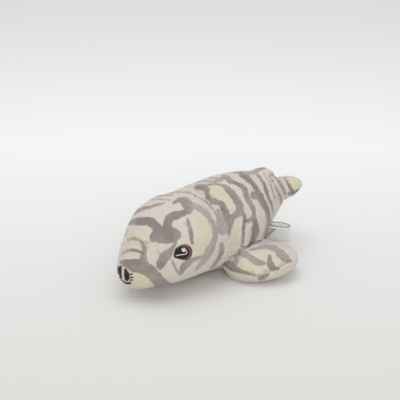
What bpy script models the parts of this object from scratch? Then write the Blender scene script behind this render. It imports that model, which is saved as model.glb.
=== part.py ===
"""Plush harbour seal pup, 172 mm from nose to hind flippers, lying on its belly.

The nose points to -Y, the toy's own left side is +X and the floor is Z = 0.
Head, torso and four flippers are stuffed skins, sewn together at the neck, shoulders and tail.
Eyes, nostrils, mouth and whisker marks are satin stitch, and a ribbon label is caught in a side seam.
"""

import math

import bmesh
import bpy
from mathutils import Matrix, Vector

MM = 0.001

# Overall
TOY_LENGTH = 172 * MM
SEWN_GAP = 0.3 * MM

# Head, from the nose tip back to the neck seam
HEAD_LENGTH = 74.5 * MM
HEAD_WIDTH = 69 * MM
HEAD_RISE = 32.5 * MM
HEAD_DROP = 30.5 * MM
NOSE_DIP = 12 * MM

# Neck seam, where the head and torso skins are gathered together
NECK_PINCH = 4 * MM
NECK_WIDTH = HEAD_WIDTH - NECK_PINCH
NECK_RISE = 31.3 * MM
NECK_DROP = 30.2 * MM

# Torso, from the neck seam back to the tail
HIND_TIPS_BEYOND_TORSO = 11.9 * MM
TORSO_WIDTH = 69 * MM
TORSO_RISE = 35.5 * MM
TORSO_DROP = 34.8 * MM
TAIL_LIFT = 9 * MM

# The belly is pressed flat by this much where it lies on the floor
BELLY_PRESS = 0.8 * MM
AXIS_HEIGHT = TORSO_DROP - BELLY_PRESS

# Gathers round the neck seam, as the depth of a fold at the seam and how fast it fades from there
GATHER_DEPTH = 1.2 * MM
GATHER_FADE = 6 * MM
GATHER_COUNT = 20

# Front flippers, stuffed paddles that lie on the floor, sweep back and rise towards their tips
FLIPPER_LENGTH = 57 * MM
FLIPPER_WIDTH = 46 * MM
FLIPPER_THICKNESS = 21 * MM
FLIPPER_BELLY = 0.45
FLIPPER_SWEEP = math.radians(57)
FLIPPER_RISE = math.radians(8)
SHOULDER_OUT = 22 * MM
SHOULDER_BEHIND_NECK = 4.5 * MM
SHOULDER_HEIGHT = 6 * MM
SHOULDER_SHARE = 0.62

# Hind flippers, a pair of shorter paddles at the tail
HIND_LENGTH = 42 * MM
HIND_WIDTH = 24 * MM
HIND_THICKNESS = 15 * MM
HIND_BELLY = 0.5
HIND_SPLAY = math.radians(21)
HIND_RISE = math.radians(10)
HIND_ROOT_OUT = 3.5 * MM
HIND_ROOT_HEIGHT = 45.5 * MM
HIND_ROOT_SHARE = 0.7

# The folded edge where a flipper's two panels are sewn together, as a reach outwards
# and as the share of the panels' height that it takes
SEAM_LIP = 0.8 * MM
SEAM_LIP_SHARE = 0.2

# Puckers along the sewn edge, as a share of the panels' height there, and the share that they take
PUCKER_SHARE = 0.3
PUCKER_HEIGHT_SHARE = 0.6
PUCKER_COUNT = 20

# How full the panels are stuffed: 1 is an oval section, and less is fuller
PADDLE_FULLNESS = 0.8

# The share of a flipper's length at which it is full width
PADDLE_WIDE_FROM = 0.65

# Satin stitch
THREAD_THICKNESS = 0.8 * MM
EYE_LENGTH = 12 * MM
EYE_HEIGHT = 10.2 * MM
EYE_TILT = math.radians(24)
EYE_CORNER = 0.5
EYE_BEHIND_NOSE = 30.9 * MM
EYE_ABOVE_FLOOR = 39.2 * MM
EYE_RIM = 1.2 * MM
EYE_RIM_LEAST = 0.4 * MM
GLINT_SPOT = 2.6 * MM
GLINT_LINE = 0.8 * MM
NOSTRIL_HEIGHT = 7.8 * MM
NOSTRIL_WIDTH = 2.9 * MM
NOSTRIL_SPACING = 6 * MM
NOSTRIL_ABOVE_FLOOR = 22.8 * MM
MOUTH_WIDTH = 13 * MM
MOUTH_LINE = 1.6 * MM
MOUTH_CURL = 2.2 * MM
MOUTH_TAPER = 0.45
MOUTH_ABOVE_FLOOR = 15.6 * MM
WHISKER_LENGTH = 2.6 * MM
WHISKER_THREAD = 0.9 * MM
WHISKER_ROW_OUT = 6.6 * MM
WHISKER_SPACING = 2.3 * MM
WHISKER_ROW_BEND = 0.6 * MM
WHISKER_TILT = 0.3
WHISKER_COUNT = 3

# Ribbon label, a strip folded into a loop and caught in the left side seam
LABEL_REACH = 15.5 * MM
LABEL_LOOP = 9 * MM
LABEL_STRIP = 13 * MM
LABEL_THICKNESS = 0.5 * MM
LABEL_TOP_HEIGHT = 28.5 * MM
LABEL_BEHIND_NECK = 55 * MM
LABEL_TURN = math.radians(32)
LABEL_IN_SEAM = 5 * MM
LABEL_BEND = math.radians(150)
LABEL_POINTS = 31

NOSE_Y = -TOY_LENGTH / 2 + SEWN_GAP + THREAD_THICKNESS
NECK_Y = NOSE_Y + HEAD_LENGTH
EYE_Y = NOSE_Y + EYE_BEHIND_NOSE
HIND_TIP_Y = TOY_LENGTH / 2
TORSO_LENGTH = HIND_TIP_Y - HIND_TIPS_BEYOND_TORSO - NECK_Y

# How finely the skins are divided
SKIN_SIDE_COUNT = 2 * GATHER_COUNT
SECTION_RING_COUNT = 3
PADDLE_SIDE_COUNT = 2 * PUCKER_COUNT
PADDLE_RING_COUNT = 16
OUTLINE_POINTS = 32
PATH_POINTS = 17

# Reach of the cutters beyond what they cut
CLEAR = 200 * MM

CREAM = (0.68, 0.61, 0.50)
STREAK_GREY = (0.30, 0.26, 0.25)
THREAD_BLACK = (0.012, 0.010, 0.009)
THREAD_BROWN = (0.16, 0.045, 0.028)
THREAD_WHITE = (0.80, 0.80, 0.78)
LABEL_WHITE = (0.78, 0.78, 0.77)


# Sections of the two body skins, as columns of distance along, centre height, half width,
# rise above the centre and drop below it

def head_sections():
    half = HEAD_WIDTH / 2
    shape = (
        # share of length, of the nose's dip, of half width, of rise, of drop
        (0.000, 1.00, 0.00, 0.00, 0.00),
        (0.030, 0.96, 0.27, 0.28, 0.27),
        (0.115, 0.82, 0.435, 0.52, 0.50),
        (0.267, 0.36, 0.69, 0.83, 0.73),
        (0.451, 0.01, 0.91, 1.00, 0.91),
        (0.690, -0.08, 1.00, 1.01, 0.98),
    )
    sections = [
        (
            NOSE_Y + along * HEAD_LENGTH,
            AXIS_HEIGHT - dip * NOSE_DIP,
            wide * half,
            rise * HEAD_RISE,
            drop * HEAD_DROP,
        )
        for along, dip, wide, rise, drop in shape
    ]
    near_neck = 0.94
    sections.append(
        (
            NOSE_Y + near_neck * HEAD_LENGTH,
            AXIS_HEIGHT,
            (half + NECK_WIDTH / 2) / 2,
            (HEAD_RISE + NECK_RISE) / 2,
            (HEAD_DROP + NECK_DROP) / 2,
        )
    )
    sections.append((NECK_Y, AXIS_HEIGHT, NECK_WIDTH / 2, NECK_RISE, NECK_DROP))
    sections.append((NECK_Y, AXIS_HEIGHT, 0, 0, 0))
    return tuple(zip(*sections))


def torso_sections():
    front = NECK_Y + SEWN_GAP
    half = TORSO_WIDTH / 2
    shape = (
        # share of length, of the tail's lift, of half width, of rise, of drop
        (0.074, -0.05, 0.970, 0.955, 0.92),
        (0.320, 0.00, 0.985, 1.000, 1.00),
        (0.568, 0.22, 0.785, 0.896, 0.80),
        (0.753, 0.47, 0.580, 0.738, 0.58),
        (0.905, 0.74, 0.460, 0.558, 0.40),
        (0.975, 0.90, 0.320, 0.380, 0.27),
        (1.000, 0.95, 0.000, 0.000, 0.00),
    )
    sections = [
        (front, AXIS_HEIGHT, 0, 0, 0),
        (front, AXIS_HEIGHT, NECK_WIDTH / 2, NECK_RISE, NECK_DROP),
    ]
    for along, lift, wide, rise, drop in shape:
        sections.append(
            (
                NECK_Y + along * TORSO_LENGTH,
                AXIS_HEIGHT + lift * TAIL_LIFT,
                wide * half,
                rise * TORSO_RISE,
                drop * TORSO_DROP,
            )
        )
    return tuple(zip(*sections))


def eased(values, place, flat_ends):
    """The value at a place along a row of values, on a smooth curve that never overshoots them."""
    last = len(values) - 1
    i = min(int(place), last - 1)
    steps = [b - a for a, b in zip(values, values[1:])]

    def slope(k):
        if k in (0, last):
            return 0.0 if flat_ends else steps[0 if k == 0 else -1]
        before, after = steps[k - 1], steps[k]
        if before * after <= 0:
            return 0.0
        return 2 * before * after / (before + after)

    t = place - i
    start, end = values[i], values[i + 1]
    return (
        start * (1 + 2 * t) * (1 - t) ** 2
        + end * t * t * (3 - 2 * t)
        + slope(i) * t * (1 - t) ** 2
        - slope(i + 1) * t * t * (1 - t)
    )


def section_at(sections, place):
    """Distance along, centre height, half width, rise and drop at a place from 0 to the last section."""
    return tuple(eased(column, place, column is sections[0]) for column in sections)


def section_at_y(sections, y):
    """The section at a distance along the toy, found by halving."""
    along = sections[0]
    low, high = 0.0, float(len(along) - 1)
    for _ in range(24):
        middle = (low + high) / 2
        if eased(along, middle, True) < y:
            low = middle
        else:
            high = middle
    return section_at(sections, low)


HEAD_SECTIONS = head_sections()
TORSO_SECTIONS = torso_sections()


# Collections and materials

def clear_scene():
    for obj in list(bpy.data.objects):
        bpy.data.objects.remove(obj, do_unlink=True)
    for mesh in list(bpy.data.meshes):
        bpy.data.meshes.remove(mesh)


def new_collection(name):
    collection = bpy.data.collections.new(name)
    bpy.context.scene.collection.children.link(collection)
    return collection


def plain_material(name, colour, roughness):
    material = bpy.data.materials.new(name)
    material.use_nodes = True
    shader = material.node_tree.nodes["Principled BSDF"]
    shader.inputs["Base Color"].default_value = (*colour, 1)
    shader.inputs["Roughness"].default_value = roughness
    shader.inputs["Metallic"].default_value = 0
    material.diffuse_color = (*colour, 1)
    return material


def streaked_plush(name):
    """Cream plush printed with grey streaks that run round the body, each about 5 mm wide."""
    material = plain_material(name, CREAM, 0.95)
    nodes = material.node_tree.nodes
    links = material.node_tree.links
    place = nodes.new("ShaderNodeTexCoord")
    stretch = nodes.new("ShaderNodeMapping")
    stretch.inputs["Scale"].default_value = (0.35, 1.0, 0.45)
    blotches = nodes.new("ShaderNodeTexNoise")
    blotches.inputs["Scale"].default_value = 95
    blotches.inputs["Detail"].default_value = 1
    blotches.inputs["Distortion"].default_value = 0.4
    edge = nodes.new("ShaderNodeValToRGB")
    edge.color_ramp.elements[0].position = 0.47
    edge.color_ramp.elements[0].color = (*STREAK_GREY, 1)
    edge.color_ramp.elements[1].position = 0.50
    edge.color_ramp.elements[1].color = (*CREAM, 1)
    links.new(place.outputs["Object"], stretch.inputs["Vector"])
    links.new(stretch.outputs["Vector"], blotches.inputs["Vector"])
    links.new(blotches.outputs["Fac"], edge.inputs["Fac"])
    links.new(edge.outputs["Color"], nodes["Principled BSDF"].inputs["Base Color"])
    return material


def add_object(name, bm, collection, material):
    mesh = bpy.data.meshes.new(name)
    bm.to_mesh(mesh)
    bm.free()
    mesh.shade_smooth()
    mesh.set_sharp_from_angle(angle=math.radians(50))
    obj = bpy.data.objects.new(name, mesh)
    collection.objects.link(obj)
    if material:
        mesh.materials.append(material)
    return obj


def add_cutter(name, bm, collection):
    obj = add_object(name, bm, collection, None)
    obj.hide_render = True
    obj.display_type = "WIRE"
    return obj


def box_cutter(name, low, high, collection):
    bm = bmesh.new()
    bmesh.ops.create_cube(bm, size=1)
    size = [b - a for a, b in zip(low, high)]
    bmesh.ops.scale(bm, vec=size, verts=bm.verts)
    bmesh.ops.translate(bm, vec=[(a + b) / 2 for a, b in zip(low, high)], verts=bm.verts)
    return add_cutter(name, bm, collection)


def trim(obj, cutter, operation="DIFFERENCE"):
    boolean = obj.modifiers.new("trim_" + cutter.name, "BOOLEAN")
    boolean.operation = operation
    boolean.solver = "EXACT"
    boolean.object = cutter


# Body skins

def fold_at(x, y, count):
    """How far a place round a ring is into one of its folds, from 0 on a ridge to 1 in a hollow."""
    return (1 - math.cos(count * math.atan2(y, x))) / 2


def skin_mesh(sections, grow=0.0):
    """A closed skin round a row of oval sections: a UV sphere whose rings take the sections' places.

    It is gathered at the neck seam, in folds that fade along the body.
    """
    bm = bmesh.new()
    spans = len(sections[0]) - 1
    rings = spans * SECTION_RING_COUNT
    bmesh.ops.create_uvsphere(bm, u_segments=SKIN_SIDE_COUNT, v_segments=rings, radius=1)
    first, last = sections[0][0], sections[0][-1]
    for vert in bm.verts:
        x, y, z = vert.co
        share = math.acos(max(-1.0, min(1.0, z))) / math.pi
        along, height, half, rise, drop = section_at(sections, share * spans)
        across = math.hypot(x, y)
        cos, sin = (x / across, y / across) if across > 1e-6 else (0.0, 0.0)
        if grow:
            along = first - grow + (along - first) * (last - first + 2 * grow) / (last - first)
        fade = math.exp(-abs(along - NECK_Y) / GATHER_FADE)
        gather = GATHER_DEPTH * fold_at(x, y, GATHER_COUNT) * fade * min(1, half / (NECK_WIDTH / 2))
        upright = (rise if sin > 0 else drop) + grow - gather
        vert.co = ((half + grow - gather) * cos, along, height + upright * sin)
    return bm


def make_skins(toy, cutters, plush, floor):
    """The head and torso, and a slightly larger copy of each that trims what is sewn on to them."""
    add_object("head", skin_mesh(HEAD_SECTIONS), toy, plush)
    torso = add_object("torso", skin_mesh(TORSO_SECTIONS), toy, plush)
    trim(torso, floor)
    return (
        add_cutter("head_clearance", skin_mesh(HEAD_SECTIONS, SEWN_GAP), cutters),
        add_cutter("torso_clearance", skin_mesh(TORSO_SECTIONS, SEWN_GAP), cutters),
    )


# Flippers

def paddle_mesh(length, width, thickness, root_share, belly_share):
    """A stuffed paddle from its root at the origin to its tip at +X: two domed panels sewn at a lip.

    root_share is the root's width as a share of the widest, and belly_share is how much of the
    thickness lies below the seam.
    """
    bm = bmesh.new()
    bmesh.ops.create_uvsphere(bm, u_segments=PADDLE_SIDE_COUNT, v_segments=PADDLE_RING_COUNT, radius=1)
    for vert in bm.verts:
        x, y, z = vert.co
        widening = math.sqrt(max(0.0, min(1.0, (x + 1) / 2 / PADDLE_WIDE_FROM)))
        taper = root_share + (1 - root_share) * widening
        lip = 1 + SEAM_LIP / (length / 2) * max(0.0, 1 - abs(z) / SEAM_LIP_SHARE)
        pucker = PUCKER_SHARE * fold_at(x, y, PUCKER_COUNT) * max(0.0, 1 - abs(z) / PUCKER_HEIGHT_SHARE)
        dome = (1 - belly_share if z > 0 else belly_share) * thickness * (1 - pucker)
        vert.co = (
            length / 2 * (1 + x * lip),
            width / 2 * y * lip * taper,
            math.copysign(abs(z) ** PADDLE_FULLNESS, z) * dome,
        )
    return bm


def make_front_flippers(toy, plush, floor, head_trim, torso_trim):
    for side, name in ((1, "front_flipper_left"), (-1, "front_flipper_right")):
        bm = paddle_mesh(
            FLIPPER_LENGTH, FLIPPER_WIDTH, FLIPPER_THICKNESS, SHOULDER_SHARE, FLIPPER_BELLY
        )
        flipper = add_object(name, bm, toy, plush)
        flipper.location = (side * SHOULDER_OUT, NECK_Y + SHOULDER_BEHIND_NECK, SHOULDER_HEIGHT)
        heading = FLIPPER_SWEEP if side > 0 else math.pi - FLIPPER_SWEEP
        flipper.rotation_euler = (0, -FLIPPER_RISE, heading)
        trim(flipper, torso_trim)
        trim(flipper, head_trim)
        trim(flipper, floor)


def make_hind_flippers(toy, cutters, plush, torso_trim):
    reach = (HIND_LENGTH + SEAM_LIP) * math.cos(HIND_RISE) * math.cos(HIND_SPLAY)
    for side, name in ((1, "hind_flipper_left"), (-1, "hind_flipper_right")):
        bm = paddle_mesh(HIND_LENGTH, HIND_WIDTH, HIND_THICKNESS, HIND_ROOT_SHARE, HIND_BELLY)
        flipper = add_object(name, bm, toy, plush)
        flipper.location = (side * HIND_ROOT_OUT, HIND_TIP_Y - reach, HIND_ROOT_HEIGHT)
        flipper.rotation_euler = (0, -HIND_RISE, math.pi / 2 - side * HIND_SPLAY)
        trim(flipper, torso_trim)

        # The two press against each other at the middle of the toy, half a gap short of it.
        near, far = sorted((side * SEWN_GAP / 2, -side * CLEAR))
        other_side = box_cutter(
            name + "_other_side", (near, -CLEAR, -CLEAR), (far, CLEAR, CLEAR), cutters
        )
        trim(flipper, other_side)


# Satin stitch: each patch is a bar through its outline, kept only in a thin layer over the head

def outline_bar(outline, near, far, along_x):
    """A bar whose section is the outline, between two depths along X for the cheeks or Y for the muzzle."""
    bm = bmesh.new()
    made = bmesh.ops.create_circle(bm, cap_ends=True, segments=len(outline), radius=1)
    for vert, (across, up) in zip(made["verts"], outline):
        vert.co = (near, across, up) if along_x else (across, near, up)
    raised = bmesh.ops.extrude_face_region(bm, geom=bm.faces[:])
    moved = [item for item in raised["geom"] if isinstance(item, bmesh.types.BMVert)]
    push = (far - near, 0, 0) if along_x else (0, far - near, 0)
    bmesh.ops.translate(bm, vec=push, verts=moved)
    bmesh.ops.recalc_face_normals(bm, faces=bm.faces)
    return bm


def cheek_bar(outline):
    return outline_bar(outline, HEAD_WIDTH / 8, HEAD_WIDTH, along_x=True)


def muzzle_bar(outline):
    return outline_bar(outline, NOSE_Y - NOSE_DIP, NOSE_Y + NOSE_DIP, along_x=False)


def add_stitch(name, bm, toy, material, layer):
    piece = add_object(name, bm, toy, material)
    base, top = layer
    trim(piece, top, "INTERSECT")
    trim(piece, base)
    return piece


def mirrored(bm):
    bmesh.ops.transform(bm, matrix=Matrix.Scale(-1, 4, (1, 0, 0)), verts=bm.verts)
    bmesh.ops.reverse_faces(bm, faces=bm.faces)
    return bm


def smooth_path(points):
    """Points spread along a smooth curve through the given ones."""
    columns = list(zip(*points))
    spans = len(points) - 1
    places = [spans * k / (PATH_POINTS - 1) for k in range(PATH_POINTS)]
    return [Vector([eased(column, place, False) for column in columns]) for place in places]


def band_outline(path, widths):
    """The outline of a line of stitches along a path, with its width at each point."""
    left, right = [], []
    for k, point in enumerate(path):
        ahead = path[min(k + 1, len(path) - 1)] - path[max(k - 1, 0)]
        across = Vector((-ahead.y, ahead.x)).normalized() * widths[k] / 2
        left.append(point + across)
        right.append(point - across)
    return left + right[::-1]


def eye_outline(inset, forward):
    """An almond with a low corner towards the nose, inset from the eye's edge and moved forward."""
    points = []
    for k in range(OUTLINE_POINTS):
        angle = 2 * math.pi * k / OUTLINE_POINTS
        towards_nose = max(0.0, -math.cos(angle))
        along = (EYE_LENGTH / 2 - inset) * math.cos(angle) - forward
        up = (EYE_HEIGHT / 2 - inset) * math.sin(angle) * (1 - EYE_CORNER * towards_nose**2)
        turned = Matrix.Rotation(EYE_TILT, 2) @ Vector((along, up))
        points.append(Vector((EYE_Y, EYE_ABOVE_FLOOR)) + turned)
    return points


def glint_outline():
    """A round spot whose thread trails round the pupil to the eye's front corner."""
    trail = (
        # share of half the eye's length behind its middle, share of half its height above
        (-0.05, 0.36),
        (0.20, 0.38),
        (0.50, 0.08),
        (0.26, -0.20),
        (-0.20, -0.22),
        (-0.62, -0.34),
    )
    path = smooth_path(
        [
            (EYE_Y + back * EYE_LENGTH / 2, EYE_ABOVE_FLOOR + up * EYE_HEIGHT / 2)
            for back, up in trail
        ]
    )
    spot_end = PATH_POINTS // 4
    widths = []
    for k in range(PATH_POINTS):
        spot = GLINT_SPOT * math.cos(math.pi / 2 * min(1, k / spot_end))
        widths.append(max(GLINT_LINE, spot))
    return band_outline(path, widths)


def make_eyes(toy, cutters, brown, black, white, stitch_layer, glint_layer):
    # The brown rim is widest behind and under the pupil.
    forward = EYE_RIM - EYE_RIM_LEAST
    for side, face in (("left", lambda bm: bm), ("right", mirrored)):
        rim_bar = face(cheek_bar(eye_outline(0, 0)))
        rim = add_stitch("eye_rim_" + side, rim_bar, toy, brown, stitch_layer)
        opening_bar = face(cheek_bar(eye_outline(EYE_RIM, forward)))
        trim(rim, add_cutter("eye_opening_" + side, opening_bar, cutters))
        pupil_bar = face(cheek_bar(eye_outline(EYE_RIM + SEWN_GAP, forward)))
        add_stitch("eye_pupil_" + side, pupil_bar, toy, black, stitch_layer)
        glint_bar = face(cheek_bar(glint_outline()))
        add_stitch("eye_glint_" + side, glint_bar, toy, white, glint_layer)


def nostril_outline():
    """A crescent, thickest at its middle, whose upper end turns in towards the middle of the nose."""
    crescent = (
        # share of half the spacing outwards from the nostril's middle, share of half its height up
        (-0.45, 1.00),
        (0.05, 0.80),
        (0.25, 0.30),
        (0.20, -0.30),
        (-0.20, -1.00),
    )
    half_spacing = NOSTRIL_SPACING / 2
    path = smooth_path(
        [
            (half_spacing * (1 + out), NOSTRIL_ABOVE_FLOOR + up * NOSTRIL_HEIGHT / 2)
            for out, up in crescent
        ]
    )
    end_share = 0.45
    widths = []
    for k in range(PATH_POINTS):
        swell = math.sin(math.pi * k / (PATH_POINTS - 1))
        widths.append(NOSTRIL_WIDTH * (end_share + (1 - end_share) * swell))
    return band_outline(path, widths)


def mouth_outline():
    """A line across the muzzle that rises and thins towards its ends."""
    path, widths = [], []
    for k in range(PATH_POINTS):
        across = 2 * k / (PATH_POINTS - 1) - 1
        height = MOUTH_ABOVE_FLOOR + MOUTH_CURL * across**2
        path.append(Vector((MOUTH_WIDTH / 2 * across, height)))
        widths.append(MOUTH_LINE * (1 - MOUTH_TAPER * abs(across)))
    return band_outline(path, widths)


def whisker_outline(n):
    """A short straight stitch beside the nostrils, the nth from the bottom of its row."""
    lowest = MOUTH_ABOVE_FLOOR + MOUTH_CURL + MOUTH_LINE
    middle = (WHISKER_COUNT - 1) / 2
    start = Vector((WHISKER_ROW_OUT - WHISKER_ROW_BEND * (n - middle) ** 2, lowest + n * WHISKER_SPACING))
    end = start + Vector((WHISKER_LENGTH, WHISKER_LENGTH * WHISKER_TILT))
    return band_outline([start, end], [WHISKER_THREAD, WHISKER_THREAD])


def make_nose(toy, black, stitch_layer):
    add_stitch("mouth_stitch", muzzle_bar(mouth_outline()), toy, black, stitch_layer)
    for side, face in (("left", lambda bm: bm), ("right", mirrored)):
        nostril_bar = face(muzzle_bar(nostril_outline()))
        add_stitch("nostril_" + side, nostril_bar, toy, black, stitch_layer)
        for n in range(WHISKER_COUNT):
            whisker_bar = face(muzzle_bar(whisker_outline(n)))
            add_stitch(f"whisker_stitch_{n + 1}_{side}", whisker_bar, toy, black, stitch_layer)


# Label

def make_label(toy, white, torso_trim):
    """A ribbon standing on edge and bent back on itself, with both ends caught in the side seam."""
    bm = bmesh.new()
    path = []
    for k in range(LABEL_POINTS):
        turn = 2 * k / (LABEL_POINTS - 1) - 1
        angle = LABEL_BEND * turn
        along = LABEL_REACH / 2 * (1 + math.cos(angle)) - LABEL_IN_SEAM * turn**8
        path.append(bm.verts.new((along, LABEL_LOOP / 2 * math.sin(angle), 0)))
    edges = [bm.edges.new(pair) for pair in zip(path, path[1:])]
    raised = bmesh.ops.extrude_edge_only(bm, edges=edges)
    tops = [item for item in raised["geom"] if isinstance(item, bmesh.types.BMVert)]
    bmesh.ops.translate(bm, vec=(0, 0, LABEL_STRIP), verts=tops)
    bmesh.ops.recalc_face_normals(bm, faces=bm.faces)
    label = add_object("side_label", bm, toy, white)
    y = NECK_Y + LABEL_BEHIND_NECK
    half_width = section_at_y(TORSO_SECTIONS, y)[2]
    label.location = (half_width, y, LABEL_TOP_HEIGHT - LABEL_STRIP)
    label.rotation_euler = (0, 0, LABEL_TURN)
    ribbon = label.modifiers.new("ribbon_thickness", "SOLIDIFY")
    ribbon.thickness = LABEL_THICKNESS
    ribbon.offset = 0
    trim(label, torso_trim)


def main():
    clear_scene()
    toy = new_collection("plush_seal")
    cutters = new_collection("cutters")
    plush = streaked_plush("streaked_plush")
    brown = plain_material("brown_thread", THREAD_BROWN, 0.5)
    black = plain_material("black_thread", THREAD_BLACK, 0.45)
    white = plain_material("white_thread", THREAD_WHITE, 0.45)
    ribbon = plain_material("white_ribbon", LABEL_WHITE, 0.55)

    floor = box_cutter("below_floor", (-CLEAR, -CLEAR, -CLEAR), (CLEAR, CLEAR, 0), cutters)
    head_trim, torso_trim = make_skins(toy, cutters, plush, floor)
    make_front_flippers(toy, plush, floor, head_trim, torso_trim)
    make_hind_flippers(toy, cutters, plush, torso_trim)

    over_head = SEWN_GAP + THREAD_THICKNESS
    over_pupil = over_head + SEWN_GAP
    stitch_top = add_cutter("stitch_top", skin_mesh(HEAD_SECTIONS, over_head), cutters)
    glint_base = add_cutter("glint_base", skin_mesh(HEAD_SECTIONS, over_pupil), cutters)
    glint_top = add_cutter(
        "glint_top", skin_mesh(HEAD_SECTIONS, over_pupil + THREAD_THICKNESS), cutters
    )
    stitch_layer = (head_trim, stitch_top)
    make_eyes(toy, cutters, brown, black, white, stitch_layer, (glint_base, glint_top))
    make_nose(toy, black, stitch_layer)
    make_label(toy, ribbon, torso_trim)

    origin = bpy.data.objects.new("toy_origin", None)
    toy.objects.link(origin)
    for obj in toy.objects:
        if obj is not origin:
            obj.parent = origin


main()
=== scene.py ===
"""Looks for the plush seal pup: stuffed skins in printed velour, a satin-stitched face and a ribbon label.

The nose points to -Y, the toy's own left is +X and the floor is Z = 0. Blender's lengths are in metres.
Named sizes are in millimetres where nothing else is said, and MM turns them to metres.
"""

import math

import bmesh
import bpy
import numpy as np
from mathutils import Matrix, Vector, noise
from mathutils.bvhtree import BVHTree


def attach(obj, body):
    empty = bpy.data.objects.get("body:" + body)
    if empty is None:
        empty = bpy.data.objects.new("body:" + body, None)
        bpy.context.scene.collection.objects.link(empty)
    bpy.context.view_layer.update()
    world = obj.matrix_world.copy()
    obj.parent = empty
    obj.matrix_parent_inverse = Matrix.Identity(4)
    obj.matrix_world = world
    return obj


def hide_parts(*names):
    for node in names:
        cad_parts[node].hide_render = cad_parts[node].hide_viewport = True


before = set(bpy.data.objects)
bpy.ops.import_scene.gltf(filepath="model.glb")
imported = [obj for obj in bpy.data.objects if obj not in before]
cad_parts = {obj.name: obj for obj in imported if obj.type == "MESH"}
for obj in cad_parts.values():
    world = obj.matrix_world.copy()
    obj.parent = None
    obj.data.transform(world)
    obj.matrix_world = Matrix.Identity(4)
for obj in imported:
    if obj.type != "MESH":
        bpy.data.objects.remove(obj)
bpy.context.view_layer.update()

MM = 0.001

# Sizes that are the frame's too
NECK_Y = -10.4
SEWN_GAP = 0.3
EYE_LENGTH = 12.0
EYE_TILT = math.radians(24)
EYE_RIM = 1.2
EYE_RIM_LEAST = 0.4
MOUTH_WIDTH = 13.0
MOUTH_CURL = 2.2
WHISKER_THREAD = 0.9
WHISKER_ROW_BEND = 0.6
WHISKER_SPACING = 2.3
WHISKER_REACH = (2.6, 0.8)
LABEL_REACH = 15.5
LABEL_STRIP = 13.0
LABEL_TOP = 28.5
LABEL_IN_SEAM = 5.0
LABEL_BEND = math.radians(150)
LABEL_TURN = math.radians(32)
LABEL_Y = 44.6
# The middle line of head and body, as (y, height)
AXIS = (
    (-84.9, 22.0), (-76.0, 24.5), (-65.0, 30.0), (-51.0, 34.0), (37.0, 36.0), (52.0, 38.2), (70.0, 41.5),
    (86.0, 42.5),
)

# Sizes of the face and the label that are fitted to the photo, most of them a little off the frame's
EYE_MIDDLE = (-54.0, 39.0)
EYE_HEIGHT = 11.2
EYE_CORNER = 0.7
GLINT_PATH = (
    (-0.02, 0.42), (0.18, 0.34), (0.35, 0.08), (0.30, -0.16), (0.0, -0.2), (-0.45, 0.02), (-0.86, 0.15),
)
GLINT_SPOT = 2.9
GLINT_LINE = 0.42
GLINT_SPOT_SHARE = 0.22
NOSTRIL_PATH = ((-0.45, 1.0), (0.05, 0.8), (0.25, 0.3), (0.2, -0.3), (-0.2, -1.0))
NOSTRIL_HEIGHT = 8.4
NOSTRIL_WIDTH = 5.0
NOSTRIL_END_SHARE = 0.45
NOSTRIL_SPACING = 6.2
NOSTRIL_ABOVE_FLOOR = 22.3
MOUTH_LINE = 2.0
MOUTH_TAPER = 0.35
MOUTH_ABOVE_FLOOR = 15.2
MOUTH_POINTS = 9
WHISKER_ROW_OUT = 6.4
NOSE_ASIDE = -0.8
LABEL_PULL = 3.5
LABEL_LOOP = 8.5
LABEL_SAG = 0.6
LABEL_THICKNESS = 0.25
LABEL_GRID = (60, 6)
# The loop closes towards the seam with this power of the way round it.
LABEL_PINCH = 8
# The printed field's ends along the ribbon at the floor's height, and how far below the upper edge the bare
# margin over the field begins and ends, and the edging's tone too
LABEL_FIELD = (-18, -10)
LABEL_MARGIN = (2.4, 2.0)
LABEL_EDGING = (0.8, 0.5)

# Stitches: how thick a thread is, how far its ends go into the cloth, the points along it, and how many
# threads lie side by side
STITCH_THREAD = 0.4
STITCH_SUNK = 0.1
STITCH_POINTS = 7
RIM_STITCHES = 88
PUPIL_STITCHES = 28
GLINT_STITCHES = 34
NOSTRIL_STITCHES = 24
MOUTH_STITCHES = 38
# How far the rim's stitches pass its outer edge, and run on under the pupil's, which lap over them
RIM_PAST_EDGE = 0.2
RIM_UNDER_PUPIL = 0.5
PUPIL_LAP = 0.6
# A line through the eye, as (y, z, width), which the stitches pull in
EYE_SOCKET = ((-58.5, 37.2, 3), (-56.5, 38.2, 7), (-53.8, 39.3, 9), (-51.0, 40.5, 7), (-49.5, 41.2, 4))
SOCKET_DEPTH = 0.7
SOCKET_FADE = 2.2

# Stuffed cloth: the cell of its even mesh, how far the filling may blow it out, the passes that smooth it
# before and after its folds are laid, and the height that it sags below, with how far at the floor
TRUNK_CELL = 1.5
TRUNK_BLOWN_MOST = 0.7
TRUNK_SMOOTHING = (5, 2)
TRUNK_SINKING = (8, 2)
FLIPPER_CELL = 1.3
FLIPPER_BLOWN_MOST = 0.5
FLIPPER_SMOOTHING = (3, 1)
FLIPPER_SINKING = (5, 1.5)
FILLING_PRESSURE = 12
FILLING_FRAMES = 20
# A slope counts as facing the floor in full where its normal points down by 1 / FLOOR_FACING.
FLOOR_FACING = 1.5
# Swells of uneven filling, as (height, size), the trunk's with the noise's seed
TRUNK_SWELLS = ((0.7, 19, 3), (0.25, 7, 5))
FLIPPER_SWELL = (0.4, 14)
NAPE_FILL = 1.8
NAPE_LENGTH = 12.0
# How far the flippers' roots are heaped up the flanks, as (y, rise), how far out the heap begins, how high
# above the floor it is whole, and its lean towards the body and forwards for each millimetre up
ROOT_RISE = ((-16.0, 6.0), (-9.0, 8.5), (-2.0, 8.5), (6.0, 6.0), (16.0, 4.0), (28.0, 0.0))
ROOT_REACH = 17.0
ROOT_FOOT = 6
ROOT_LEAN = (-0.15, -0.4)
# The crease between a root and the flank
ROOT_CREASE_REACH = 3.5
ROOT_CREASE_DEPTH = 2.2

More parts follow.
